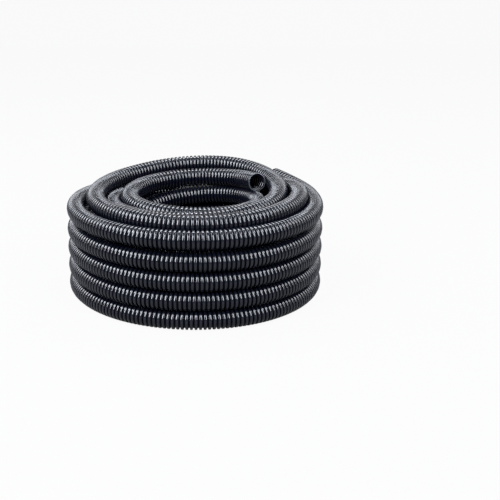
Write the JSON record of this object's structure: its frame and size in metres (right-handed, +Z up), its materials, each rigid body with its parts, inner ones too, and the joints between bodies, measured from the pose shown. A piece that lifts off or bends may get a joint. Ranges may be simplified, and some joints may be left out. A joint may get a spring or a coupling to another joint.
{
  "type": "corrugated conduit coil",
  "caption": "Coil of flexible corrugated plastic conduit lying flat, with an open eye and both cut ends free on top.",
  "frame": {"origin": "on the floor, on the axis of the coil's layers", "axes": "+Z up, along the coil's axis; -Y is the way that the inner end's mouth faces; +X from the coil's axis towards that mouth"},
  "size_m": [0.3422, 0.342, 0.1521],
  "materials": {
    "conduit_plastic": "semi-gloss black"
  },
  "bodies": {
    "root": {"conduit_coil": "conduit_plastic"}
  },
  "joints": []
}
